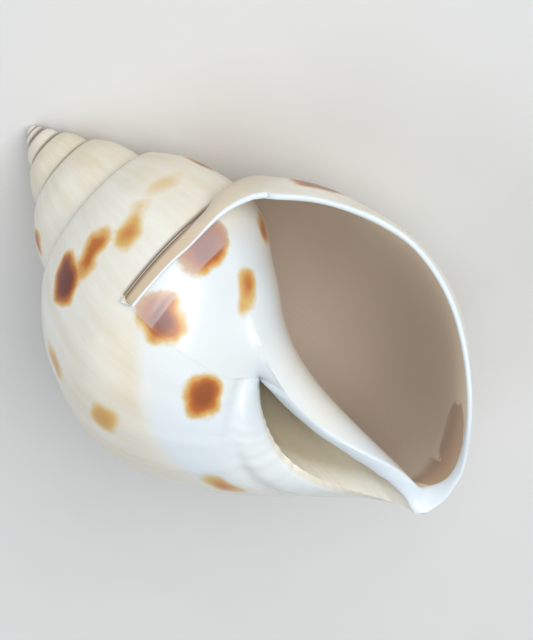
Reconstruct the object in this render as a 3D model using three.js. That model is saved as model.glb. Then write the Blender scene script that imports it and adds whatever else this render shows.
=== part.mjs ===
// Spotted babylon sea shell, lying on its back with the mouth up.
// The shell is one hollow tube that widens as it winds round an axis. Its section is drawn once, at full
// size, as radius and depth below the apex, and every earlier section is that one made smaller. The outside
// wall, the wall of the umbilicus, the chamber and the lip that joins them are grids of points on that spiral.
import * as THREE from "three";

// Driving dimensions, in millimetres and degrees
const WHORL_GROWTH = 1.812; // size of one whorl against the whorl before it
const STEPS = 24; // facets round one turn
const STEP = 360 / STEPS;
const APEX_TURNS = 5; // whorls before the lip
const CHAMBER_TURNS = 2.25; // how far back the hollow inside is followed
const UMBILICUS_TURNS = 1.5;
const WALL = 1.25;
const SEAM_WALL = 0.5; // wall beside the seams, where two whorls meet
const LIP_WALL = 0.65;
const CALLUS = 0.35; // enamel laid on the whorl before
const CALLUS_EDGE = 0.1;
const REST_ROLL = 214.621; // turn about the axis that puts the body whorl's back underneath
const REST_SLOPE = 124.264; // tilt of the axis from upright, until the spire touches down as well
const REST_HEADING = 72.94; // turn on the ground that brings the mouth round to the front
const WORN = 0.3; // depth of the worn spots that the shell lies on

// The section at the lip as [radius, depth below the apex]
const SUTURE = [12.28, 21.96];
const NEXT_SUTURE = SUTURE.map((v) => v * WHORL_GROWTH);
const SIDE = [SUTURE, [13.1, 21.62], [13.9, 21.6], [14.7, 22.1], [15.6, 23.1], [18.5, 27], [20.7, 32.2],
  [21.9, 36.5], NEXT_SUTURE];
const FRONT_END = [4.4, 62];
const BASE = [NEXT_SUTURE, [21.6, 44.6], [19.2, 50], [15.2, 55.2], [12, 57.9], [10.2, 58.6], [8.9, 60.1],
  [6.9, 61.6], FRONT_END];
const UMBILICUS_TOP = FRONT_END.map((v) => v / WHORL_GROWTH);
const UMBILICUS = [FRONT_END, [3.1, 61], [2.4, 58.6], [2, 52], [2, 44], [2.1, 38], UMBILICUS_TOP];

// Columns of points across each stretch of the section
const SIDE_COLUMNS = 9;
const TONGUE_COLUMNS = 4;
const BASE_COLUMNS = 9;
const UMBILICUS_COLUMNS = 6;

// The edge of the mouth, as [distance along the stretch, angle round the axis]
const ATTACH_ANGLE = 118; // where the lip runs out along the suture
const SIDE_EDGE = [[0, 28], [7, 28], [14, 20], [22.1, 13]];
const BASE_EDGE = [[0, 13], [13, 12], [22, 4], [31, 0]];
const COLUMELLA_EDGE = [[0, 0], [5, 18], [12, 52], [20, 84], [28.5, 105]];
const TONGUE_WIDTH = [[28, 7], [43, 4], [58, 2.4], [88, 1.8], [103, 1.3], [118, 1]];

const between = (a, b, t) => a + (b - a) * t;
const radians = THREE.MathUtils.degToRad;

// A table's value at x, with straight lines between its rows
function lookUp(table, x) {
  let k = 1;
  while (k < table.length - 1 && table[k][0] < x) k++;
  const [[x0, y0], [x1, y1]] = [table[k - 1], table[k]];
  return between(y0, y1, THREE.MathUtils.clamp((x - x0) / (x1 - x0), 0, 1));
}

// Points spaced along a smooth curve through a stretch's landmarks; a crowding over 1 draws them to its start
function spaced(landmarks, columns, crowding = 1) {
  const curve = new THREE.CatmullRomCurve3(
    landmarks.map(([r, h]) => new THREE.Vector3(r, h, 0)), false, "centripetal");
  const length = curve.getLength();
  return Array.from({ length: columns + 1 }, (_, j) => {
    const part = (j / columns) ** crowding;
    const { x: r, y: h } = curve.getPointAt(part);
    return { r, h, along: part * length };
  });
}

const side = spaced(SIDE, SIDE_COLUMNS, 1.3);
const base = spaced(BASE, BASE_COLUMNS);
const umbilicus = spaced(UMBILICUS, UMBILICUS_COLUMNS);
// The wall of the whorl before, from the umbilicus back up to the suture, closes the section
const inwards = [...base].reverse().map(({ r, h, along }) =>
  ({ r: r / WHORL_GROWTH, h: h / WHORL_GROWTH, along: along / WHORL_GROWTH }));
const section = [...side, ...base.slice(1), ...umbilicus.slice(1), ...inwards.slice(1, -1)];
const COLUMELLA_TOP = side.length + base.length + umbilicus.length - 3;

// How thick the wall is behind each point of the section: the lip's edge is thinner than the shell behind it
function wallAt(index, full) {
  if (index > COLUMELLA_TOP) return CALLUS;
  const wall = between(LIP_WALL, WALL, full);
  const fromSeam = Math.min(index, COLUMELLA_TOP - index);
  return between(SEAM_WALL, wall, Math.min(fromSeam / 4, 1));
}

// The chamber's section: each point moves inwards by the wall, and at the two seams along it as well
function chamberSection(full) {
  const count = section.length;
  const point = (i) => section[(i + count) % count];
  const direction = (i) => new THREE.Vector2(point(i + 1).r - point(i).r, point(i + 1).h - point(i).h).normalize();
  return section.map(({ r, h, along }, i) => {
    const seam = i === 0 || i === COLUMELLA_TOP;
    const ahead = direction(i);
    const run = seam ? ahead.clone() : ahead.clone().add(direction(i - 1)).normalize();
    const wall = wallAt(i, full);
    const slide = seam ? wallAt(i === 0 ? count : i + 1, full) : 0;
    return { r: r - run.y * wall + run.x * slide, h: h + run.x * wall + run.y * slide, along };
  });
}

const lipChamber = chamberSection(0);
const fullChamber = chamberSection(1);
const chamber = (index, full) => ({
  r: between(lipChamber[index].r, fullChamber[index].r, full),
  h: between(lipChamber[index].h, fullChamber[index].h, full),
});

// A section's point carried round the axis to an angle, at the size that the shell had there
function onSpiral({ r, h }, angle) {
  const size = WHORL_GROWTH ** (angle / 360);
  const turn = radians(-angle);
  return new THREE.Vector3(r * size * Math.cos(turn), r * size * Math.sin(turn), -h * size);
}

const vertices = [];
const faces = [];
const vertex = (point) => vertices.push(point) - 1;

// A grid's rows from first to last: each cell is the number of a vertex made before, or a new point
function grid(first, last, columns, cell) {
  const rows = new Map();
  const at = (i, j) => rows.get(i)?.[j];
  for (let i = first; i <= last; i++) {
    rows.set(i, []);
    for (let j = 0; j <= columns(i); j++) {
      const made = cell(i, j, at);
      rows.get(i).push(typeof made === "number" ? made : vertex(made));
    }
  }
  return { at, first, last, columns };
}

function face(a, b, c) {
  if (a !== b && b !== c && c !== a) faces.push([a, b, c]);
}

// Two triangles for each cell, turned so that they face out of the wall
function skin({ at, first, last, columns }) {
  for (let i = first; i < last; i++)
    for (let j = 0; j < Math.min(columns(i), columns(i + 1)); j++) {
      face(at(i, j), at(i + 1, j), at(i + 1, j + 1));
      face(at(i, j), at(i + 1, j + 1), at(i, j + 1));
    }
}

function strip(inner, outer) {
  inner.forEach((a, k) => {
    const next = (k + 1) % inner.length;
    face(a, outer[next], outer[k]);
    face(a, inner[next], outer[next]);
  });
}

function cap(ring, centre) {
  const middle = vertex(centre);
  ring.forEach((a, k) => face(a, ring[(k + 1) % ring.length], middle));
}

function middleOf(ring) {
  const sum = ring.reduce((total, k) => total.add(vertices[k]), new THREE.Vector3());
  return sum.divideScalar(ring.length);
}

const range = (from, to) => {
  const down = from > to ? -1 : 1;
  return Array.from({ length: Math.abs(to - from) + 1 }, (_, k) => from + k * down);
};

// Rows: row 0 is the lip, rows before it go back round the spiral, rows after it are the tongue of the lip
const TONGUE = Math.round((ATTACH_ANGLE - SIDE_EDGE[0][1]) / STEP);
const SEAM_LAG = STEPS - Math.round((SIDE_EDGE[0][1] - BASE_EDGE[0][1]) / STEP);
const CALLUS_LAG = STEPS - Math.round(COLUMELLA_EDGE.at(-1)[1] / STEP);
const APEX_ROW = -Math.round(APEX_TURNS * STEPS);
const CHAMBER_ROW = -Math.round(CHAMBER_TURNS * STEPS);
const UMBILICUS_ROW = -Math.round(UMBILICUS_TURNS * STEPS);

const sideAngle = (i, j) => i * STEP + lookUp(SIDE_EDGE, side[j].along);
const baseAngle = (i, j) => i * STEP + lookUp(BASE_EDGE, base[j].along);
const umbilicusAngle = (i, j) => i * STEP + lookUp(COLUMELLA_EDGE, umbilicus[j].along);

// On the tongue the columns crowd into the strip of side that is left there
function narrowed(points, j, angle) {
  const along = (side[j].along * lookUp(TONGUE_WIDTH, angle)) / side[TONGUE_COLUMNS].along;
  return { r: lookUp(points.map((p) => [p.along, p.r]), along), h: lookUp(points.map((p) => [p.along, p.h]), along) };
}

const sideColumns = (i) => (i > 0 ? TONGUE_COLUMNS : SIDE_COLUMNS);

// Outside: the side of every whorl, and its suture edge is the base edge of the whorl before
const outerSide = grid(APEX_ROW, TONGUE, sideColumns, (i, j, made) => {
  if (i === TONGUE && j > 0) return made(i, 0);
  const shared = j === 0 ? made(i - SEAM_LAG, SIDE_COLUMNS) : undefined;
  const angle = sideAngle(i, j);
  return shared ?? onSpiral(i > 0 ? narrowed(side, j, angle) : side[j], angle);
});

// The base shows on the last turn only, from the edge of the callus to the lip
const outerBase = grid(-CALLUS_LAG, 0, () => BASE_COLUMNS, (i, j) =>
  (j === 0 ? outerSide.at(i, SIDE_COLUMNS) : onSpiral(base[j], baseAngle(i, j))));

const outerUmbilicus = grid(UMBILICUS_ROW, 0, () => UMBILICUS_COLUMNS, (i, j, made) => {
  const onBase = j === 0 ? outerBase.at(i, BASE_COLUMNS) : undefined;
  const turnBefore = j === UMBILICUS_COLUMNS ? made(i - CALLUS_LAG, 0) : undefined;
  return onBase ?? turnBefore ?? onSpiral(umbilicus[j], umbilicusAngle(i, j));
});

// Chamber: its rows square up with the axis as they go back from the lip
const lipShape = (i) => 1 - THREE.MathUtils.smoothstep(-i * STEP, 0, 400);
const wallGrown = (i) => THREE.MathUtils.smoothstep(-i * STEP, 0, 35);
const chamberPoint = (i, index, lead) =>
  onSpiral(chamber(index, wallGrown(i)), i * STEP + lead * (i < 0 ? lipShape(i) : 1));

const innerSide = grid(CHAMBER_ROW, TONGUE, sideColumns, (i, j, made) => {
  if (i === TONGUE && j > 0) return made(i, 0);
  if (i <= 0) return chamberPoint(i, j, sideAngle(0, j));
  return onSpiral(narrowed(lipChamber.slice(0, side.length), j, sideAngle(i, j)), sideAngle(i, j));
});
const innerBase = grid(CHAMBER_ROW, 0, () => BASE_COLUMNS, (i, j) =>
  (j === 0 ? innerSide.at(i, SIDE_COLUMNS) : chamberPoint(i, SIDE_COLUMNS + j, baseAngle(0, j))));
const innerColumella = grid(CHAMBER_ROW, 0, () => UMBILICUS_COLUMNS, (i, j) =>
  (j === 0 ? innerBase.at(i, BASE_COLUMNS)
    : chamberPoint(i, SIDE_COLUMNS + BASE_COLUMNS + j, umbilicusAngle(0, j))));

// The callus goes from the columella up to the suture, and out over the whorl before as far as its edge
const outwards = (j) => j / BASE_COLUMNS;
const innerCallus = grid(CHAMBER_ROW, TONGUE, () => BASE_COLUMNS, (i, j) => {
  if (j === 0) return innerColumella.at(Math.min(i, 0), UMBILICUS_COLUMNS);
  if (j === BASE_COLUMNS) return innerSide.at(i, 0);
  const index = COLUMELLA_TOP + j;
  const lead = between(umbilicusAngle(0, UMBILICUS_COLUMNS), sideAngle(0, 0), outwards(j));
  if (i <= 0) return chamberPoint(i, index, lead);
  const edge = baseAngle(-CALLUS_LAG, BASE_COLUMNS - j) + 360;
  const share = i / TONGUE;
  const thin = between(1, CALLUS_EDGE / CALLUS, share);
  const inside = chamber(index, 0);
  const whorl = section[index];
  return onSpiral({ r: between(whorl.r, inside.r, thin), h: between(whorl.h, inside.h, thin) },
    between(lead, edge, share));
});

[outerSide, outerBase, outerUmbilicus].forEach(skin);

// The chamber faces the other way, so its grids are skinned with their rows turned round
const turned = ({ at, first, last, columns }) =>
  ({ at: (i, j) => at(-i, j), first: -last, last: -first, columns: (i) => columns(-i) });
[innerSide, innerBase, innerColumella, innerCallus].map(turned).forEach(skin);

// The rim of the mouth joins the two, point by point
const rimOf = (sideGrid, baseGrid, columella, callusEdge) => [
  sideGrid.at(TONGUE, 0),
  ...range(TONGUE - 1, 0).map((i) => sideGrid.at(i, TONGUE_COLUMNS)),
  ...range(TONGUE_COLUMNS + 1, SIDE_COLUMNS).map((j) => sideGrid.at(0, j)),
  ...range(1, BASE_COLUMNS).map((j) => baseGrid.at(0, j)),
  ...range(1, UMBILICUS_COLUMNS).map((j) => columella.at(0, j)),
  ...range(1, BASE_COLUMNS - 1).map(callusEdge),
];
strip(
  rimOf(innerSide, innerBase, innerColumella, (j) => innerCallus.at(TONGUE, j)),
  rimOf(outerSide, outerBase, outerUmbilicus, (j) => outerBase.at(-CALLUS_LAG, BASE_COLUMNS - j)),
);

// Caps: the apex, the top of the umbilicus and the far end of the chamber
const apexRing = [
  ...range(0, SIDE_COLUMNS - 1).map((j) => outerSide.at(APEX_ROW, j)),
  ...range(APEX_ROW + SEAM_LAG, APEX_ROW + 1).map((i) => outerSide.at(i, 0)),
];
cap(apexRing, onSpiral({ r: 0, h: SUTURE[1] * 0.75 }, APEX_ROW * STEP));

const umbilicusRing = [
  ...range(0, UMBILICUS_COLUMNS).map((j) => outerUmbilicus.at(UMBILICUS_ROW, j)),
  ...range(UMBILICUS_ROW + 1, UMBILICUS_ROW + CALLUS_LAG - 1).map((i) => outerUmbilicus.at(i, UMBILICUS_COLUMNS)),
];
cap(umbilicusRing, middleOf(umbilicusRing));

const chamberRing = [
  ...range(0, SIDE_COLUMNS).map((j) => innerSide.at(CHAMBER_ROW, j)),
  ...range(1, BASE_COLUMNS).map((j) => innerBase.at(CHAMBER_ROW, j)),
  ...range(1, UMBILICUS_COLUMNS).map((j) => innerColumella.at(CHAMBER_ROW, j)),
  ...range(1, BASE_COLUMNS - 1).map((j) => innerCallus.at(CHAMBER_ROW, j)),
];
cap(chamberRing.reverse(), middleOf(chamberRing));

// The shell in its spiral's frame, turned to lie at rest, with the middle of its underside at the origin
function restingGeometry() {
  const geometry = new THREE.BufferGeometry();
  geometry.setAttribute("position", new THREE.Float32BufferAttribute(vertices.flatMap((v) => v.toArray()), 3));
  geometry.setIndex(faces.flat());
  geometry.rotateZ(radians(REST_ROLL));
  geometry.rotateX(radians(REST_SLOPE));
  geometry.rotateZ(radians(REST_HEADING));
  geometry.computeBoundingBox();
  const { min, max } = geometry.boundingBox;
  geometry.translate(-(min.x + max.x) / 2, -(min.y + max.y) / 2, -min.z - WORN);
  const { position } = geometry.attributes;
  for (let k = 0; k < position.count; k++) position.setZ(k, Math.max(position.getZ(k), 0));
  geometry.computeVertexNormals();
  return geometry;
}

const shell = new THREE.Mesh(
  restingGeometry(),
  new THREE.MeshStandardMaterial({ color: 0xe9e3d6, roughness: 0.28, metalness: 0 }),
);
shell.name = "shell";

const group = new THREE.Group();
group.add(shell);

export default group;
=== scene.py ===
import bpy
import numpy as np
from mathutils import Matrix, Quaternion, Vector


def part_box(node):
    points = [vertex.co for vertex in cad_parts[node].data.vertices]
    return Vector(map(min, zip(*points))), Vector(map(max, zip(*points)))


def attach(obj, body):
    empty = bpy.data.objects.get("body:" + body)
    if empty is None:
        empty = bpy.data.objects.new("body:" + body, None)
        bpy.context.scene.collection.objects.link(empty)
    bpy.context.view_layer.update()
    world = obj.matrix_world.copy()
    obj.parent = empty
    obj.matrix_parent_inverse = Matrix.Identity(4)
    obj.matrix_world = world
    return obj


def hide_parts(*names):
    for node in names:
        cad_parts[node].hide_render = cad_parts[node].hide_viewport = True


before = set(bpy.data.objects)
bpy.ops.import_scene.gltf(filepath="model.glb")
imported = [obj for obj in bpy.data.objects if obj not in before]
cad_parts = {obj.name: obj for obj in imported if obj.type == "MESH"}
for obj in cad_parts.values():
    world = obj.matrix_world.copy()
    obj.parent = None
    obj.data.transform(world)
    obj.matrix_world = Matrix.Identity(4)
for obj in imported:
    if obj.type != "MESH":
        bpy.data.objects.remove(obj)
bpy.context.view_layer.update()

# ---------------------------------------------------------------------------------------------------------
# The shell: one piece of enamelled lime that a whelk laid down at the lip of its tube, turn after turn.
# The tube keeps its shape and grows by the same factor each turn, so one section, drawn once as radius and
# depth below the apex, is carried round a logarithmic spiral. Lengths are in millimetres and degrees here.
WHORL_GROWTH = 1.812
STEPS = 144
STEP = 360 / STEPS
APEX_TURNS = 5.5
CHAMBER_TURNS = 1.75
UMBILICUS_TURNS = 1.5

SUTURE = (12.28, 21.96)
NEXT_SUTURE = (SUTURE[0] * WHORL_GROWTH, SUTURE[1] * WHORL_GROWTH)
SHOULDER_AND_SIDE = [SUTURE, (13.1, 21.62), (13.9, 21.6), (14.7, 22.1), (15.6, 23.1), (18.5, 27),
                     (20.7, 32.2), (21.9, 36.5), NEXT_SUTURE]
FRONT_END = (4.4, 62)
BASE_AND_CANAL = [(21.6, 44.6), (19.2, 50), (15.2, 55.2), (12.6, 57.6), (10.8, 59.1), (9, 60.5), (7, 61.6),
                  FRONT_END]
UMBILICUS_WALL = [(3.6, 61.3), (3.7, 58.7), (3.3, 52.5), (3, 47.5), (2.6, 42.3), (2.2, 37.4),
                  (FRONT_END[0] / WHORL_GROWTH, FRONT_END[1] / WHORL_GROWTH)]


def spline(knots, values, at):
    """A natural cubic spline: its second slopes solve h0 m0 + 2(h0 + h1) m1 + h1 m2 = 6(slope1 - slope0),
    with none at the two ends, and each span is the straight line less the two cubic bends it holds."""
    knots, values = np.asarray(knots, float), np.asarray(values, float)
    if values.ndim == 1:
        return spline(knots, values[:, None], at)[:, 0]
    h = np.diff(knots)
    slope = np.diff(values, axis=0) / h[:, None]
    inner = np.diag(2 * (h[:-1] + h[1:])) + np.diag(h[1:-1], 1) + np.diag(h[1:-1], -1)
    bend = np.zeros_like(values)
    bend[1:-1] = np.linalg.solve(inner, 6 * np.diff(slope, axis=0))
    k = np.clip(np.searchsorted(knots, at, side="right") - 1, 0, len(h) - 1)
    left, right = (knots[k + 1] - at)[:, None], (at - knots[k])[:, None]
    width = h[k][:, None]
    return ((bend[k] * left**3 + bend[k + 1] * right**3) / (6 * width)
            + (values[k] / width - bend[k] * width / 6) * left
            + (values[k + 1] / width - bend[k + 1] * width / 6) * right)


def measured_curve(landmarks, samples=6000):
    """The spline through the landmarks, resampled so that its points stand at even lengths along it.
    Its knots are spaced by the square root of the chords, which keeps tight bends from overshooting."""
    landmarks = np.array(landmarks)
    knots = np.append(0, np.cumsum(np.linalg.norm(np.diff(landmarks, axis=0), axis=1) ** 0.5))
    dense = spline(knots, landmarks, np.linspace(0, knots[-1], samples))
    length = np.append(0, np.cumsum(np.linalg.norm(np.diff(dense, axis=0), axis=1)))
    return length, dense, np.interp(knots, np.linspace(0, knots[-1], samples), length)


section_length, section_line, landmark_at = measured_curve(
    SHOULDER_AND_SIDE + BASE_AND_CANAL + UMBILICUS_WALL)
SIDE_END = landmark_at[len(SHOULDER_AND_SIDE) - 1]
BASE_END = landmark_at[len(SHOULDER_AND_SIDE) + len(BASE_AND_CANAL) - 1]
COLUMELLA_END = landmark_at[-1]


def section(along):
    """Radius and depth of the section at a distance along it, at full size."""
    return np.stack([np.interp(along, section_length, section_line[:, k]) for k in (0, 1)], axis=-1)


def heading(along):
    """Unit direction of travel along the section: the difference of two near points, made one long."""
    step = section(np.minimum(along + 0.05, COLUMELLA_END)) - section(np.maximum(along - 0.05, 0))
    return step / np.linalg.norm(step, axis=-1, keepdims=True)


def inward(direction):
    """The direction of travel turned a quarter, towards the hollow of the tube."""
    return np.stack([-direction[..., 1], direction[..., 0]], axis=-1)


def on_spiral(radius_and_depth, angle):
    """A section's point carried round to an angle: its size is growth to the power of the turns gone, and
    the spiral runs clockwise seen from the apex, which is at the origin with the mouth's end below it."""
    size = WHORL_GROWTH ** (angle / 360)
    turn = np.radians(-angle)
    radius, depth = radius_and_depth[..., 0] * size, radius_and_depth[..., 1] * size
    return np.stack([radius * np.cos(turn), radius * np.sin(turn), -depth], axis=-1)


# The mouth's edge, as the angle that the shell has grown to at a distance along its section. It leans back
# along the base, dips at the canal and climbs the columella; the lip's tongue follows the suture round.
ATTACH_ANGLE = 108
LIP_START = 43
BASE_START = 15.5
CANAL_ANGLE = -18
CALLUS_TURN = 360 - ATTACH_ANGLE + BASE_START
COLUMELLA_ANGLE = 360 - CALLUS_TURN + CANAL_ANGLE
SIDE_EDGE = [(0, LIP_START), (7.5, 43), (9.4, 39), (11.2, 33.5), (14.2, 26.5), (17, 21.5),
             (SIDE_END, BASE_START)]
BASE_EDGE = [(6, 15), (12, 14.5), (18, 13.2), (21, 11.5), (24, 5), (26.5, -4.5),
             (BASE_END - SIDE_END, CANAL_ANGLE)]
COLUMELLA_EDGE = [(3.5, -6), (10, 22), (15, 45), (20, 63), (25, 73),
                  (COLUMELLA_END - BASE_END, COLUMELLA_ANGLE)]
TONGUE_WIDTH = [(43, 6.9), (49, 4.6), (58, 2.7), (68, 1.6), (80, 1.3), (95, 1.2), (108, 1.1)]

SIDE_COLUMNS = 36
BASE_COLUMNS = 44
UMBILICUS_COLUMNS = 24
TONGUE_COLUMNS = 13
RIM_ROWS = 6

side_at = SIDE_END * np.linspace(0, 1, SIDE_COLUMNS + 1) ** 1.15
base_at = np.linspace(SIDE_END, BASE_END, BASE_COLUMNS + 1)
umbilicus_at = np.linspace(BASE_END, COLUMELLA_END, UMBILICUS_COLUMNS + 1)
outer_at = np.concatenate([side_at, base_at[1:], umbilicus_at[1:]])

TONGUE_ROWS = round((ATTACH_ANGLE - LIP_START) / STEP)
SEAM_ROWS = STEPS - round((LIP_START - BASE_START) / STEP)
CALLUS_ROWS = round(CALLUS_TURN / STEP)
APEX_ROWS = round(APEX_TURNS * STEPS)
CHAMBER_ROWS = round(CHAMBER_TURNS * STEPS)
UMBILICUS_ROWS = round(UMBILICUS_TURNS * STEPS)


def mouth_edge(along):
    """The angle that the mouth's edge has reached: straight lines through the three tables, with their
    corners rounded by the mean over a short window."""
    table = np.array(SIDE_EDGE + [(SIDE_END + at, angle) for at, angle in BASE_EDGE]
                     + [(BASE_END + at, angle) for at, angle in COLUMELLA_EDGE])
    window = np.linspace(-1.6, 1.6, 33)
    spread = np.interp(np.asarray(along)[..., None] + window, table[:, 0], table[:, 1])
    return spread.mean(axis=-1)


def smooth_step(x, low, high):
    """0 below low, 1 above high, and 3t^2 - 2t^3 between."""
    t = np.clip((x - low) / (high - low), 0, 1)
    return t * t * (3 - 2 * t)


PAUSE_HEIGHT = 0.03
SCALE_HEIGHT = 0.035
GROOVE_FROM_SUTURE = 24.7
GROOVE_HALF_WIDTH = 1.3
GROOVE_DEPTH = 0.8


def growth_relief(along, angle):
    """How far the outside stands proud, in millimetres at full size: slow swells where growth paused, two
    sines of the angle that fade on the shoulder; the scales of the twisted ridge that each old canal left
    behind, a sine on the ridge's band; less a groove beside that ridge, a bell curve across its middle."""
    pauses = np.sin(np.radians(angle * 19 + 40 * np.sin(np.radians(angle * 3.1)))) \
        + 0.7 * np.sin(np.radians(angle * 31 + along * 9))
    ridge = smooth_step(along, BASE_END - 8, BASE_END - 4)
    ridge = ridge * (1 - smooth_step(along, BASE_END + 1, BASE_END + 4))
    scales = np.sin(np.radians(angle * 27 + 70 * np.sin(np.radians(angle * 5))))
    across = (along - SIDE_END - GROOVE_FROM_SUTURE) / GROOVE_HALF_WIDTH
    groove = np.exp(-across ** 2) * (1 - smooth_step(angle, -150, -60))
    return (PAUSE_HEIGHT * pauses * smooth_step(along, 1, 5) + SCALE_HEIGHT * ridge * scales
            - GROOVE_DEPTH * groove)


def outside_point(along, angle):
    """The outside wall: the section, pushed out by the growth relief, on the spiral."""
    proud = growth_relief(along, angle)[..., None]
    return on_spiral(section(along) - inward(heading(along)) * proud, angle)


# The inside is the outside moved in by the wall. At the two seams, where the tube meets the whorl before,
# the wall and the enamel on that whorl meet in a mitre.
WALL = 1.25
SEAM_WALL = 0.5
LIP_WALL = 0.65
CALLUS = 0.35
CALLUS_EDGE = 0.1
COLUMELLA_WALL = 1.9
FOLD_WALL = 2.1
SEAM_TAPER = 8


def wall_thickness(along, grown):
    """From the lip's wall to the full one as it grows, brought to the columella's by a smooth step, and
    falling in a straight line to the seam's wall over the taper."""
    full = LIP_WALL + (WALL - LIP_WALL) * grown
    full = full + (COLUMELLA_WALL - full) * smooth_step(along, BASE_END - 3, BASE_END + 9)
    return SEAM_WALL + (full - SEAM_WALL) * np.clip(along / SEAM_TAPER, 0, 1)


def enamel_thickness(gone):
    """The fold's wall where it runs off the columella, then by a smooth step the thin callus."""
    return CALLUS + (FOLD_WALL - CALLUS) * (1 - smooth_step(gone, 2, 10))


def mitre(travel_in, wall_in, travel_out, wall_out):
    """How far before and after a corner two moved-in lines meet: solves out*b - in*a = inward in times its
    wall - inward out times its wall."""
    sides = np.stack([travel_out, -travel_in], axis=1)
    after, before = np.linalg.solve(sides, inward(travel_in) * wall_in - inward(travel_out) * wall_out)
    return -before, after


COLUMELLA_COLUMN = len(outer_at) - 1
CANAL_COLUMN = SIDE_COLUMNS + BASE_COLUMNS
EASING_PASSES = 60


def chamber_section(grown):
    """The chamber's closed line, from the suture round the wall to the columella and back up the enamel:
    each point of the outside moved inward by the wall. Its corners at the columella and the canal are
    then eased, each point near them moving half way to the middle of its neighbours, pass after pass."""
    wall_starts, wall_ends = heading(np.array([0.0, COLUMELLA_END]))
    enamel_starts, enamel_ends = -heading(np.array([BASE_END, SIDE_END]))
    last_cut, first_cut = mitre(enamel_ends, CALLUS, wall_starts, SEAM_WALL)
    low_cut, high_cut = mitre(wall_ends, COLUMELLA_WALL, enamel_starts, FOLD_WALL)
    squeezed = first_cut + (COLUMELLA_END - first_cut - low_cut) * outer_at / COLUMELLA_END
    outer = section(squeezed) + inward(heading(squeezed)) * wall_thickness(outer_at, grown)[:, None]
    run = (BASE_END - SIDE_END) / WHORL_GROWTH
    gone = high_cut + (run - high_cut - last_cut) * np.linspace(0, 1, BASE_COLUMNS + 1)
    whorl_at = BASE_END - gone * WHORL_GROWTH
    enamel = section(whorl_at) / WHORL_GROWTH - inward(heading(whorl_at)) * enamel_thickness(gone)[:, None]
    line = np.concatenate([outer, enamel[1:]])
    near = sum(np.exp(-((np.arange(len(line)) - corner) / reach) ** 2)[1:-1, None]
               for corner, reach in ((COLUMELLA_COLUMN, 9), (CANAL_COLUMN, 4)))
    for _ in range(EASING_PASSES):
        line[1:-1] += 0.5 * near * ((line[:-2] + line[2:]) / 2 - line[1:-1])
    return line


lip_chamber = chamber_section(0)
full_chamber = chamber_section(1)

# The blotches of the colour pattern, as a distance in millimetres to the nearest one's outline. Three rows
# follow the growth, one on the side and two on the base; the early whorls have one row of small ones.
# Each is (angle, distance along the section, half length on the spiral, half length across, lean,
# strength).
KNOWN_BLOTCHES = [
    (-235, 11, 2.4, 2, 20, 0.8), (-252, 12.2, 3, 1.6, 10, 0.56), (-275, 15, 3, 1.4, 15, 0.3),
    (-309, 12.8, 3.4, 1, 0, 0.13), (-258, 29, 2.6, 2.5, -25, 0.64), (-293, 26.4, 3, 2.2, 0, 0.6),
    (-341, 31.2, 1.5, 2.1, 0, 0.55), (-238, 41, 2.1, 2.1, 40, 0.52), (-304, 39, 2.3, 1.4, 50, 0.34),
    (-168, 42.5, 2.8, 1.5, 0, 0.34), (-200, 15, 1.5, 2.6, 0, 0.24), (-203, 27.5, 2.4, 2, 0, 0.22),
    (14, 9.5, 4.5, 3, 0, 0.75), (-6, 44.5, 2.6, 3.4, 0, 0.9), (-24, 49.5, 2.2, 2.2, 0, 0.8)]
BLOTCH_ROWS = [(12.5, 2.4, 4.3, -150, -30), (29, 2.3, 3.8, -150, -18), (41, 2.1, 2.6, -130, -30),
               (12.5, 2, 2.4, -560, -330)]
draw = np.random.default_rng(11)


def row_of_blotches(along, half_length, half_width, first, last):
    """Blotches nearly four half lengths apart on the spiral, each moved, sized and leaned a little by
    chance; the step along the spiral over the radius there is the step in angle."""
    row = []
    angle = first
    while angle < last:
        size = WHORL_GROWTH ** (angle / 360)
        radius = section(np.array(float(along)))[0] * size
        chance = draw.uniform(-1, 1, 6)
        row.append((angle, along + 0.6 * chance[0], half_length * size * (1 + 0.2 * chance[1]),
                    half_width * size * (1 + 0.2 * chance[2]), 8 * chance[3], 0.85 + 0.15 * chance[4]))
        angle += np.degrees((3.9 * half_length * size + 0.9 * chance[5]) / radius)
    return row


blotches = KNOWN_BLOTCHES + [blotch for row in BLOTCH_ROWS for blotch in row_of_blotches(*row)]


FARTHEST = 9.0  # millimetres from a blotch, past which the distance isn't kept


def blotch_field(angle, along):
    """Distance to the nearest blotch's outline, below nothing inside it, and that blotch's strength. Each is
    a squared-off oval: the power mean of the two offsets over the two half lengths, less one."""
    distance = np.full(np.shape(angle), FARTHEST)
    strength = np.zeros(np.shape(angle))
    radius = section(along)[..., 0]
    for at_angle, at_along, half_length, half_width, lean, tone in blotches:
        size = WHORL_GROWTH ** (at_angle / 360)
        x = np.radians(angle - at_angle) * radius * size
        y = (along - at_along) * size
        tilt = np.radians(lean)
        lengthways = np.abs(x * np.cos(tilt) + y * np.sin(tilt)) / half_length
        across = np.abs(y * np.cos(tilt) - x * np.sin(tilt)) / half_width
        own = ((lengthways**2.5 + across**2.5) ** 0.4 - 1) * min(half_length, half_width)
        nearer = own < distance
        distance = np.where(nearer, own, distance)
        strength = np.where(nearer, tone, strength)
    return distance, strength


# The surface is a few grids of points that share their edges. Each corner of a face also carries facts for
# the finish: its place on the spiral, the blotches, and how far it is inside, glazed (on the base partly
# painted light), lip, umbilicus (painted shade) or in the tan band of painted shade, how far from the suture
# in millimetres, and how many degrees behind the lip.
FACTS = ["angle", "along", "blotch", "strength", "chamber", "glaze", "lip", "umbilicus", "tan", "seam",
         "depth"]
NO_SEAM = 9.0  # millimetres from a suture, for places that aren't near one
places = []
triangles = []
corner_facts = []


def new_points(block):
    """Keeps a block of points and gives their numbers in the same layout."""
    block = np.asarray(block)
    first = sum(len(kept) for kept in places)
    places.append(block.reshape(-1, 3))
    return first + np.arange(len(places[-1])).reshape(block.shape[:-1])


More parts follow.
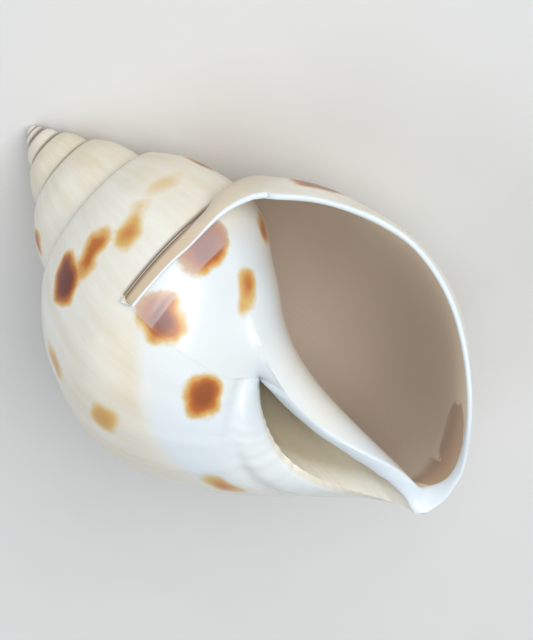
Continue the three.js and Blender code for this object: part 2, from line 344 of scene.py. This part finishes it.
def facts(angle, along, **known):
    """One layer for each fact; what isn't given is nought, and the blotches come from the field."""
    angle, along = np.broadcast_arrays(np.asarray(angle, float), np.asarray(along, float))
    distance, strength = blotch_field(angle, along)
    layers = {"angle": angle, "along": along, "blotch": distance, "strength": strength, **known}
    return np.stack([np.broadcast_to(layers.get(name, 0.0), angle.shape) for name in FACTS], axis=-1)


def skin(numbers, grid_facts, turned=False):
    """Two triangles for each cell of a grid, facing out of the wall, without those that have no width."""
    own = np.arange(numbers.size).reshape(numbers.shape)
    a, b, c, d = (part.ravel() for part in (own[:-1, :-1], own[1:, :-1], own[1:, 1:], own[:-1, 1:]))
    cells = np.concatenate([np.stack([a, b, c], 1), np.stack([a, c, d], 1)])
    if turned:
        cells = cells[:, ::-1]
    ids = numbers.ravel()[cells]
    wide = (ids[:, 0] != ids[:, 1]) & (ids[:, 1] != ids[:, 2]) & (ids[:, 2] != ids[:, 0])
    triangles.append(ids[wide])
    corner_facts.append(grid_facts.reshape(-1, len(FACTS))[cells[wide]])


def rows(first, last):
    """The grid rows from first to last as a column of numbers; row 0 is the mouth's edge."""
    return np.arange(first, last + 1)[:, None]


def seam_distance(along, angle):
    """Millimetres to the nearer suture at the size that the whorl has there."""
    return np.minimum(along, np.abs(along - SIDE_END)) * WHORL_GROWTH ** (angle / 360)


# The side of every whorl; its upper edge is the lower edge of the whorl before
side_angle = rows(-APEX_ROWS, 0) * STEP + mouth_edge(side_at)
side = new_points(outside_point(np.broadcast_to(side_at, side_angle.shape), side_angle))
side[SEAM_ROWS:, 0] = side[:-SEAM_ROWS, -1]
suture_below = (rows(-APEX_ROWS, 0) < -CALLUS_ROWS) | (side_at < SIDE_END / 2)
# Painted shade: a tan band on the side just below the suture near the mouth, for the lip's shoulder in shadow
shoulder_shade = (1 - smooth_step(side_at, 2, 8)) * smooth_step(side_angle, -50, 30) * 0.6
skin(side, facts(side_angle, side_at, tan=shoulder_shade,
                 seam=np.where(suture_below, seam_distance(side_at, side_angle), NO_SEAM)))

# The tongue of the lip, which narrows along the suture to the place where it grips the whorl before. It
# leaves its own curve and lies flat on that whorl by the angle given here.
FLAP_LIES_FLAT = 76
tongue_angle = rows(0, TONGUE_ROWS) * STEP + np.full(TONGUE_COLUMNS + 1, float(LIP_START))
tongue_angle += (mouth_edge(side_at[:TONGUE_COLUMNS + 1]) - LIP_START) * (rows(0, TONGUE_ROWS) == 0)
width_angles, widths = np.array(TONGUE_WIDTH).T
tongue_width = np.interp(tongue_angle[:, :1] + np.linspace(-5, 5, 21), width_angles, widths).mean(axis=1)
narrow = side_at[:TONGUE_COLUMNS + 1] / side_at[TONGUE_COLUMNS] * tongue_width[:, None]
narrow[0] = side_at[:TONGUE_COLUMNS + 1]
hugs = smooth_step(tongue_angle, LIP_START, FLAP_LIES_FLAT)[..., None]


def hugging(width, lift):
    """A point below the suture on the whorl before, lifted off it: the lip's flap lies along that whorl."""
    under = SIDE_END + width * WHORL_GROWTH
    return section(under) / WHORL_GROWTH - inward(heading(under)) * lift[..., None]


flap_rise = (narrow / tongue_width[:, None]) ** 0.5
on_profile = section(narrow)
outer_flap = on_profile * (1 - hugs) + hugging(narrow, 0.3 + 0.65 * flap_rise) * hugs
tongue = new_points(on_spiral(outer_flap, tongue_angle))
tongue[0] = side[-1, :TONGUE_COLUMNS + 1]
first_shared = APEX_ROWS - SEAM_ROWS
tongue[:, 0] = side[first_shared:first_shared + TONGUE_ROWS + 1, -1]
tongue[-1] = tongue[-1, 0]
# Painted shade: the flap, and its strip by the suture, tinted tan for the shoulder in shadow
skin(tongue, facts(tongue_angle, narrow, seam=seam_distance(narrow, tongue_angle),
                   tan=np.maximum(hugs[..., 0], 0.6 * (1 - smooth_step(narrow, 2, 8)))))

# The base, which shows on the last turn only. Its glaze ends on a line that leans by so many degrees for
# each millimetre from the suture. That mask is partly painted light: its whiter, bluer side stands for where
# light falls on the base and its cream side for shade, and towards the umbilicus it whitens the base more.
base_angle = rows(-CALLUS_ROWS, 0) * STEP + mouth_edge(base_at)
base = new_points(outside_point(np.broadcast_to(base_at, base_angle.shape), base_angle))
base[:, 0] = side[-CALLUS_ROWS - 1:, -1]
GLAZE_LEAN = 5.4
base_glaze_and_light = np.maximum(1 - smooth_step(base_angle - GLAZE_LEAN * (base_at - SIDE_END), -286, -266),
                      0.6 * smooth_step(base_at, SIDE_END + 14, SIDE_END + 27))
skin(base, facts(base_angle, base_at, seam=NO_SEAM, glaze=base_glaze_and_light))

# The umbilicus, a deep slit between the columella and the twisted ridge, darkened to olive in the finish as
# painted shade
umbilicus_angle = rows(-UMBILICUS_ROWS, 0) * STEP + mouth_edge(umbilicus_at)
umbilicus = new_points(outside_point(np.broadcast_to(umbilicus_at, umbilicus_angle.shape), umbilicus_angle))
umbilicus[-CALLUS_ROWS - 1:, 0] = base[:, -1]
umbilicus[CALLUS_ROWS:, -1] = umbilicus[:-CALLUS_ROWS, 0]
skin(umbilicus, facts(umbilicus_angle, umbilicus_at, seam=NO_SEAM,
                      umbilicus=smooth_step(umbilicus_at, BASE_END + 3, BASE_END + 6.5)))

# The chamber: its rows square up with the axis as they go back from the lip, and its wall thickens
chamber_row = rows(-CHAMBER_ROWS, 0)
behind = -chamber_row * STEP
enamel_share = np.linspace(0, 1, BASE_COLUMNS + 1)
enamel_lead = COLUMELLA_ANGLE + (LIP_START - COLUMELLA_ANGLE) * enamel_share
lead = np.concatenate([mouth_edge(outer_at), enamel_lead[1:]])
chamber_angle = chamber_row * STEP + lead * (1 - smooth_step(behind, 0, 400))
grown = smooth_step(behind, 0, 35)[..., None]
chamber = new_points(on_spiral(lip_chamber * (1 - grown) + full_chamber * grown, chamber_angle))
chamber[:, -1] = chamber[:, 0]
enamel_at = BASE_END - (BASE_END - SIDE_END) * enamel_share
place_at = np.concatenate([outer_at, enamel_at[1:]])
on_enamel = np.arange(len(place_at)) > COLUMELLA_COLUMN
glazed = smooth_step(place_at, BASE_END + 2, BASE_END + 6) * ~on_enamel + on_enamel
glazed = glazed * (1 - smooth_step(behind, 15, 110))
skin(chamber, facts(chamber_angle - 360 * on_enamel, place_at, depth=behind, seam=NO_SEAM,
                    chamber=1 - glazed, glaze=glazed), turned=True)

# The inside of the tongue
inner_place = np.stack([np.interp(narrow, side_at, lip_chamber[:SIDE_COLUMNS + 1, k]) for k in (0, 1)],
                       axis=-1)
inner_flap = inner_place * (1 - hugs) + hugging(narrow, 0.4 + 0.15 * flap_rise) * hugs
inner_tongue = new_points(on_spiral(inner_flap, tongue_angle))
inner_tongue[0] = chamber[-1, :TONGUE_COLUMNS + 1]
inner_tongue[-1] = inner_tongue[-1, 0]
skin(inner_tongue, facts(tongue_angle, narrow, chamber=1.0, seam=NO_SEAM), turned=True)

# The enamel that the mouth lays over the whorl before, from the columella out to its thin edge. A raised
# thread runs on it beside the suture, where the glaze under the lip's flap ends.
THREAD_FROM_SUTURE = 4.2
share = rows(0, TONGUE_ROWS) / TONGUE_ROWS
enamel_edge = 360 - CALLUS_ROWS * STEP + mouth_edge(enamel_at)
fan_angle = enamel_lead + (enamel_edge - enamel_lead) * share
thin = ((1 - share) ** 1.4)[..., None]
bare_whorl = section(enamel_at) / WHORL_GROWTH
thread = np.exp(-(((enamel_at - SIDE_END) / WHORL_GROWTH * 1.16 - THREAD_FROM_SUTURE) / 0.3) ** 2)
edge_film = bare_whorl - inward(heading(enamel_at)) * (CALLUS_EDGE + 0.12 * thread)[:, None]
fan = new_points(on_spiral(edge_film + (lip_chamber[COLUMELLA_COLUMN:] - edge_film) * thin, fan_angle))
fan[0] = chamber[-1, COLUMELLA_COLUMN:]
fan[:, 0] = fan[0, 0]
fan[:, -1] = inner_tongue[:, 0]
fan_seam = (enamel_at - SIDE_END) / WHORL_GROWTH * WHORL_GROWTH ** (fan_angle / 360)
skin(fan, facts(fan_angle - 360, enamel_at, glaze=1.0, seam=fan_seam), turned=True)

# The rim of the mouth, rounded over from the inside to the outside
inner_rim = np.concatenate([inner_tongue[-1, :1], inner_tongue[-2::-1, -1], chamber[-1, TONGUE_COLUMNS + 1:
                            COLUMELLA_COLUMN + 1], fan[-1, 1:-1]])
outer_rim = np.concatenate([tongue[-1, :1], tongue[-2::-1, -1], side[-1, TONGUE_COLUMNS + 1:], base[-1, 1:],
                            umbilicus[-1, 1:], base[0, -2:0:-1]])
inner_back = np.concatenate([inner_tongue[-2, :1], inner_tongue[-2::-1, -2], chamber[-2, TONGUE_COLUMNS + 1:
                             COLUMELLA_COLUMN + 1], fan[-2, 1:-1]])
outer_back = np.concatenate([tongue[-2, :1], tongue[-2::-1, -2], side[-2, TONGUE_COLUMNS + 1:], base[-2, 1:],
                             umbilicus[-2, 1:], base[1, -2:0:-1]])
made = np.concatenate(places)
inner_ring, outer_ring = made[inner_rim], made[outer_rim]
ahead = sum(step / np.maximum(np.linalg.norm(step, axis=1, keepdims=True), 1e-6)
            for step in (inner_ring - made[inner_back], outer_ring - made[outer_back])) / 2
over = np.linspace(0, 1, RIM_ROWS + 1)[:, None, None]
thickness = np.linalg.norm(outer_ring - inner_ring, axis=1, keepdims=True)
rounded = inner_ring + (outer_ring - inner_ring) * (1 - np.cos(np.pi * over)) / 2 \
    + ahead * np.minimum(thickness, 1) * 0.5 * np.sin(np.pi * over)
rim = new_points(rounded)
rim[0], rim[-1] = inner_rim, outer_rim
rim = np.concatenate([rim, rim[:, :1]], axis=1)
skin(rim, facts(np.zeros(rim.shape), 0.0, lip=1.0, seam=NO_SEAM, blotch=FARTHEST), turned=True)


def cap(ring, centre, rings, **known):
    """A closed end: the ring drawn in to its centre, on a quarter circle so that it ends as a dome."""
    edge = np.concatenate(places)[ring]
    quarter = np.linspace(0, np.pi / 2, rings + 1)[:, None, None]
    middle = edge.mean(axis=0)
    dome = middle + (edge - middle) * np.cos(quarter) + (centre - middle) * np.sin(quarter)
    numbers = new_points(dome)
    numbers[0] = ring
    numbers[-1] = numbers[-1, 0]
    numbers = np.concatenate([numbers, numbers[:, :1]], axis=1)
    skin(numbers, facts(np.zeros(numbers.shape), 0.0, blotch=FARTHEST, seam=NO_SEAM, **known), turned=True)


apex_ring = np.concatenate([side[0, :-1], side[SEAM_ROWS:0:-1, 0]])
cap(apex_ring, on_spiral(np.array([0, SUTURE[1] * 0.8]), np.array(-APEX_TURNS * 360.0)), 8)
umbilicus_ring = np.concatenate([umbilicus[0], umbilicus[1:CALLUS_ROWS, -1]])
cap(umbilicus_ring, np.concatenate(places)[umbilicus_ring].mean(axis=0), 4, umbilicus=1.0)
chamber_ring = chamber[0, :0:-1]
cap(chamber_ring, np.concatenate(places)[chamber_ring].mean(axis=0), 4, chamber=1.0, depth=600.0)


# It lies on its back with the mouth up, on the body whorl and the side of the spire
REST_TURNS = [("Z", 214.621), ("X", 124.264), ("Z", 72.94)]


def turned_about(points, axis, degrees):
    """Points turned about one axis: cosine and sine of the angle mix the two other coordinates."""
    first, second = {"X": (1, 2), "Z": (0, 1)}[axis]
    c, s = np.cos(np.radians(degrees)), np.sin(np.radians(degrees))
    out = points.copy()
    out[:, first] = points[:, first] * c - points[:, second] * s
    out[:, second] = points[:, first] * s + points[:, second] * c
    return out


def at_rest(points):
    """The three turns, then the middle of the points' box set over the middle of the shell's own, on the
    level that it lies on."""
    for axis, degrees in REST_TURNS:
        points = turned_about(points, axis, degrees)
    points = points / 1000
    low, high = (np.array(corner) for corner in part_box("shell"))
    middle = (points.min(axis=0) + points.max(axis=0)) / 2
    shift = (low + high) / 2 - middle
    shift[2] = low[2] - points[:, 2].min()
    return points + shift


def mesh_piece(name, points, faces, face_facts):
    """A mesh object from arrays of points and triangles, with each fact as a value on its face corners."""
    used, faces = np.unique(faces, return_inverse=True)
    faces = faces.reshape(-1, 3)
    mesh = bpy.data.meshes.new(name)
    mesh.vertices.add(len(used))
    mesh.vertices.foreach_set("co", points[used].ravel())
    mesh.loops.add(faces.size)
    mesh.loops.foreach_set("vertex_index", faces.ravel().astype(np.int32))
    mesh.polygons.add(len(faces))
    mesh.polygons.foreach_set("loop_start", np.arange(0, faces.size, 3, dtype=np.int32))
    mesh.update(calc_edges=True)
    for k, fact in enumerate(FACTS):
        layer = mesh.attributes.new(fact, "FLOAT", "CORNER")
        layer.data.foreach_set("value", face_facts[..., k].ravel().astype(np.float32))
    mesh.polygons.foreach_set("use_smooth", np.ones(len(faces), dtype=bool))
    mesh.set_sharp_from_angle(angle=np.radians(50))
    piece = bpy.data.objects.new(name, mesh)
    bpy.context.collection.objects.link(piece)
    return piece


shell = mesh_piece("shell_surface", at_rest(np.concatenate(places)), np.concatenate(triangles),
                   np.concatenate(corner_facts))


def bare_material(name):
    """A new material with no nodes in it yet."""
    material = bpy.data.materials.new(name)
    material.use_nodes = True
    material.node_tree.nodes.clear()
    return material


def adder(tree):
    """Adds nodes to a tree: keywords set a node's properties, and each input is a value or the socket that
    feeds it."""
    def add(kind, inputs=(), **settings):
        node = tree.nodes.new(kind)
        for key, value in settings.items():
            setattr(node, key, value)
        for key, value in dict(inputs).items():
            if isinstance(value, bpy.types.NodeSocket):
                tree.links.new(value, node.inputs[key])
            else:
                node.inputs[key].default_value = value
        return node
    return add


def maths(add, operation, *values, clamp=False):
    """One arithmetic node, by its operation's name, over values or sockets."""
    return add("ShaderNodeMath", enumerate(values), operation=operation, use_clamp=clamp).outputs[0]


def blend(add, amount, base, over):
    """base times (1 - amount) plus over times amount."""
    return add("ShaderNodeMix", {0: amount, 6: base, 7: over}, data_type="RGBA").outputs[2]


def ramp(add, value, low, high):
    """0 below low, 1 above high, smooth between."""
    return add("ShaderNodeMapRange", {0: value, 1: low, 2: high}, interpolation_type="SMOOTHSTEP").outputs[0]


def linear(red, green, blue):
    """A colour given as a painter names it, from 0 to 255, as the light that it sends back."""
    shares = np.array([red, green, blue]) / 255
    light = np.where(shares <= 0.04045, shares / 12.92, ((shares + 0.055) / 1.055) ** 2.4)
    return (*(float(channel) for channel in light), 1.0)


MILK_WHITE = linear(242, 240, 230)
CREAM = linear(222, 205, 168)
BLUE_WHITE = linear(232, 241, 246)
STRAW = linear(224, 186, 112)
ORANGE = linear(196, 110, 34)
CHESTNUT = linear(122, 52, 22)
PLUM_BROWN = linear(88, 40, 34)
PINK_GLAZE = linear(190, 150, 142)
TAUPE = linear(220, 203, 184)
TAUPE_IN_PAINTED_SHADE = linear(198, 184, 170)
UMBILICUS_SHADE_OLIVE = linear(186, 172, 142)
SEAM_SHADE_BROWN = linear(104, 70, 42)
SHADE_TAN = linear(206, 178, 140)

porcelain = bare_material("porcelain")
add = adder(porcelain.node_tree)
fact = {name: add("ShaderNodeAttribute", attribute_name=name).outputs["Fac"] for name in FACTS}
around = add("ShaderNodeTexCoord").outputs["Object"]
whorl_place = add("ShaderNodeCombineXYZ", {0: maths(add, "MULTIPLY", fact["angle"], 0.1),
                                           1: maths(add, "MULTIPLY", fact["along"], 0.3)}).outputs[0]

# Ground: milk-white with cream clouds that follow the growth, whiter and bluer under the enamel, which on the
# base is partly painted light
clouds = add("ShaderNodeTexNoise", {"Vector": around, "Scale": 70.0, "Detail": 4.0}).outputs["Fac"]
band_place = add("ShaderNodeVectorMath", {0: whorl_place, 1: (1, 0.12, 1)}, operation="MULTIPLY").outputs[0]
growth_bands = add("ShaderNodeTexNoise", {"Vector": band_place, "Scale": 1.4, "Detail": 6.0,
                                          "Roughness": 0.62}).outputs["Fac"]
banded = maths(add, "MULTIPLY", ramp(add, growth_bands, 0.35, 0.75), 0.5)
creamy = maths(add, "ADD", ramp(add, clouds, 0.35, 0.75), banded)
ground = blend(add, maths(add, "MULTIPLY", creamy, 0.6, clamp=True), MILK_WHITE, CREAM)
enamelled = blend(add, ramp(add, clouds, 0.3, 0.8), BLUE_WHITE, MILK_WHITE)
ground = blend(add, fact["glaze"], ground, enamelled)
# Painted shade: the tan band on the lip's shoulder and flap
ground = blend(add, maths(add, "MULTIPLY", fact["tan"], 0.75), ground, SHADE_TAN)

# Blotches: straw at the fringe, orange, chestnut and plum in the core, with an uneven outline
lobed = add("ShaderNodeTexNoise", {"Vector": around, "Scale": 230.0, "Detail": 1.0}).outputs["Fac"]
ragged = add("ShaderNodeTexNoise", {"Vector": around, "Scale": 900.0, "Detail": 2.0}).outputs["Fac"]
uneven = maths(add, "MULTIPLY_ADD", maths(add, "SUBTRACT", lobed, 0.5), 2.8, fact["blotch"])
uneven = maths(add, "MULTIPLY_ADD", maths(add, "SUBTRACT", ragged, 0.5), 0.55, uneven)
into = maths(add, "MULTIPLY", ramp(add, uneven, 0.75, -1.7), fact["strength"])
pigment = add("ShaderNodeValToRGB", {0: into})
stops = pigment.color_ramp.elements
stops[0].position, stops[0].color = 0.04, (*STRAW[:3], 0.0)
stops[1].position, stops[1].color = 0.95, PLUM_BROWN
for position, colour in ((0.16, STRAW), (0.34, ORANGE), (0.62, CHESTNUT)):
    stop = stops.new(position)
    stop.color = colour
outside = blend(add, pigment.outputs[1], ground, pigment.outputs[0])

# The strip of thick glaze beside the lip's tongue turns the blotches pink; a white thread ends it
strip = maths(add, "MULTIPLY", fact["glaze"], ramp(add, fact["seam"], 4.3, 4.0))
pink = blend(add, maths(add, "MULTIPLY", pigment.outputs[1], 0.7), enamelled, PINK_GLAZE)
outside = blend(add, maths(add, "MULTIPLY", strip, 0.6), outside, pink)

# Chamber: taupe, with painted shade that darkens it deep inside, and at the lip painted light, a paler cream
# and a faint glow, where the blotches of the outside show
lit = ramp(add, fact["depth"], 30.0, 0.0)
hollow = blend(add, ramp(add, fact["depth"], 20.0, 200.0), TAUPE, TAUPE_IN_PAINTED_SHADE)
hollow = blend(add, maths(add, "MULTIPLY", lit, 0.7), hollow, CREAM)
shining = maths(add, "MULTIPLY", pigment.outputs[1], ramp(add, fact["depth"], 36.0, 22.0))
hollow = blend(add, maths(add, "MULTIPLY", shining, 0.5), hollow, CHESTNUT)
colour = blend(add, fact["chamber"], outside, hollow)
# Painted shade: the umbilicus darkened to olive
colour = blend(add, maths(add, "MULTIPLY", fact["umbilicus"], 0.85), colour, UMBILICUS_SHADE_OLIVE)
colour = blend(add, fact["lip"], colour, BLUE_WHITE)

# Painted shade: the suture darkened to brown near its crease, for the shadow in its gap
seam_shade = maths(add, "MULTIPLY", ramp(add, fact["seam"], 0.7, 0.12), 0.85)
off_the_rim = maths(add, "SUBTRACT", 1.0, fact["lip"])
colour = blend(add, maths(add, "MULTIPLY", seam_shade, off_the_rim), colour, SEAM_SHADE_BROWN)

# Fine growth threads in the gloss, and the glow of the thin lip, a painted light that the chamber gives off
# near the lip
thread_place = add("ShaderNodeVectorMath", {0: whorl_place, 1: (9, 0.25, 1)}, operation="MULTIPLY").outputs[0]
threads = add("ShaderNodeTexNoise", {"Vector": thread_place, "Scale": 1.0, "Detail": 5.0,
                                     "Roughness": 0.6}).outputs["Fac"]
bump = add("ShaderNodeBump", {"Height": threads, "Strength": 0.25, "Distance": 0.0001}).outputs[0]
shader = add("ShaderNodeBsdfPrincipled", {
    "Base Color": colour, "Normal": bump,
    "Roughness": maths(add, "MULTIPLY_ADD", clouds, 0.14, 0.28),
    "Coat Weight": maths(add, "MULTIPLY_ADD", fact["glaze"], 0.4, 0.35), "Coat Roughness": 0.16,
    "Specular IOR Level": 0.5, "Emission Color": hollow,
    "Emission Strength": maths(add, "MULTIPLY", maths(add, "MULTIPLY", lit, fact["chamber"]), 0.26)})
add("ShaderNodeOutputMaterial", {"Surface": shader.outputs[0]})
shell.data.materials.append(porcelain)
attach(shell, "root")
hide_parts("shell")

# ---------------------------------------------------------------------------------------------------------
# The floor: a plain pale sheet of paper, at the level that the shell lies on and wide enough to have no
# edge in any view.
FLOOR_SIZE = 6.0

lowest, highest = (Vector(corner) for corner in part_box("shell"))
floor_mesh = bpy.data.meshes.new("floor")
sheet_corners = [(x * FLOOR_SIZE, y * FLOOR_SIZE, lowest.z)
                 for x, y in ((-1, -1), (1, -1), (1, 1), (-1, 1))]
floor_mesh.from_pydata(sheet_corners, [], [(0, 1, 2, 3)])
floor = bpy.data.objects.new("floor", floor_mesh)
bpy.context.collection.objects.link(floor)
paper = bare_material("paper")
add = adder(paper.node_tree)
paper_place = add("ShaderNodeTexCoord").outputs["Object"]
fibres = add("ShaderNodeTexNoise", {"Vector": paper_place, "Scale": 90.0}).outputs["Fac"]
sheet = add("ShaderNodeBsdfPrincipled", {
    "Base Color": blend(add, fibres, linear(226, 225, 222), linear(232, 231, 228)), "Roughness": 0.85})
add("ShaderNodeOutputMaterial", {"Surface": sheet.outputs[0]})
floor_mesh.materials.append(paper)

# ---------------------------------------------------------------------------------------------------------
# The camera: it looks down into the mouth from the front, through a long lens, and is rolled so that the
# spire points to the upper left.
CAMERA_AZIMUTH = 4.92
CAMERA_ELEVATION = 54.44
CAMERA_ROLL = -168.82
CAMERA_DISTANCE = 0.586
CAMERA_LENS = 318
VIEW_CENTRE = (-0.0028, -0.0044, 0.0037)


def looking(azimuth, elevation):
    """The direction from the object to an eye at that azimuth from -Y and elevation above the horizon."""
    turn, rise = np.radians(azimuth), np.radians(elevation)
    return Vector((np.sin(turn) * np.cos(rise), -np.cos(turn) * np.cos(rise), np.sin(rise)))


middle = (lowest + highest) / 2
camera = bpy.data.objects.new("camera", bpy.data.cameras.new("camera"))
bpy.context.collection.objects.link(camera)
camera.data.lens = CAMERA_LENS
camera.data.clip_start, camera.data.clip_end = 0.01, 10
towards = looking(CAMERA_AZIMUTH, CAMERA_ELEVATION)
camera.rotation_mode = "QUATERNION"
camera.rotation_quaternion = Quaternion(towards, np.radians(CAMERA_ROLL)) @ towards.to_track_quat("Z", "Y")
camera.location = middle + Vector(VIEW_CENTRE) + towards * CAMERA_DISTANCE
bpy.context.scene.camera = camera

# ---------------------------------------------------------------------------------------------------------
# The light: one wide soft box at the front, a weaker one to fill from the back right, and a pale room
# that lights the shadows.


def soft_box(name, azimuth, elevation, distance, size, power):
    """A square area light that faces the object."""
    lamp = bpy.data.objects.new(name, bpy.data.lights.new(name, "AREA"))
    bpy.context.collection.objects.link(lamp)
    lamp.data.size = size
    lamp.data.energy = power
    away = looking(azimuth, elevation)
    lamp.location = middle + away * distance
    lamp.rotation_mode = "QUATERNION"
    lamp.rotation_quaternion = away.to_track_quat("Z", "Y")


soft_box("key", -20, 48, 0.7, 0.55, 3.6)
soft_box("fill", 120, 50, 0.9, 0.7, 1.5)
room = bpy.data.worlds.new("room")
room.use_nodes = True
room.node_tree.nodes["Background"].inputs["Color"].default_value = linear(225, 232, 240)
room.node_tree.nodes["Background"].inputs["Strength"].default_value = 0.5
bpy.context.scene.world = room
bpy.context.scene.view_settings.view_transform = "Standard"
